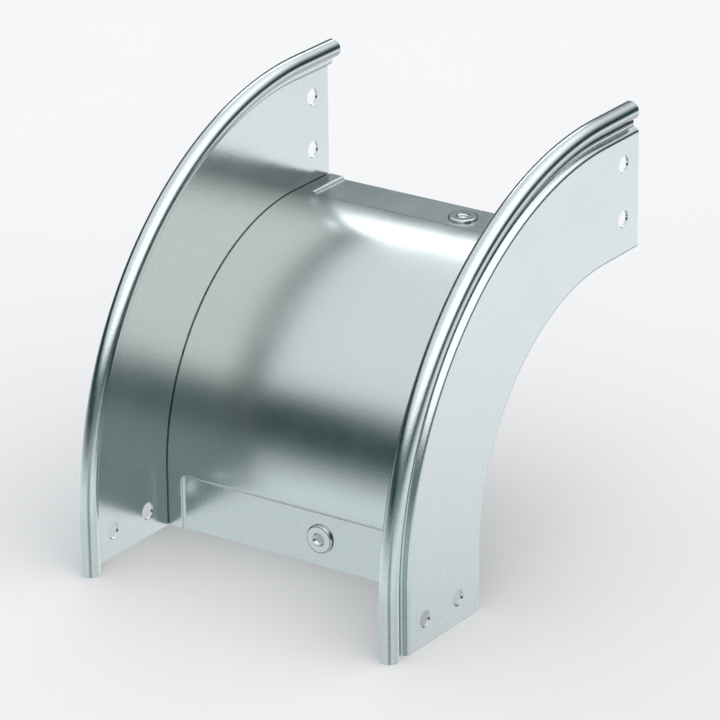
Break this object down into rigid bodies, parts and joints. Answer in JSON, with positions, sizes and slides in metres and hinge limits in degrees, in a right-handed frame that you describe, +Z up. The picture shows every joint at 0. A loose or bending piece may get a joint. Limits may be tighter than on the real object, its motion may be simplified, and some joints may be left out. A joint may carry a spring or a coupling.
{
  "type": "cable tray bend",
  "caption": "Vertical cable tray bend in galvanised sheet, turning upright to level, open on its outer side, with beaded side walls and lowered end panels with threaded bushes.",
  "frame": {"origin": "middle of the tray's width, on the tray face of the floor, in the plane of the lower end", "axes": "+X across the tray to the right wall, +Z up along the lower end, +Y along the run of the upper end; the lower end is open towards -Y and the upper end towards +Z"},
  "size_m": [0.148, 0.172, 0.172],
  "materials": {
    "galvanised_sheet": "continuously galvanised sheet, satin",
    "plated_bush": "zinc plated, satin"
  },
  "bodies": {
    "root": {"side_wall_left": "galvanised_sheet", "side_wall_right": "galvanised_sheet", "floor_sheet": "galvanised_sheet", "threaded_bushes": "plated_bush"}
  },
  "joints": []
}
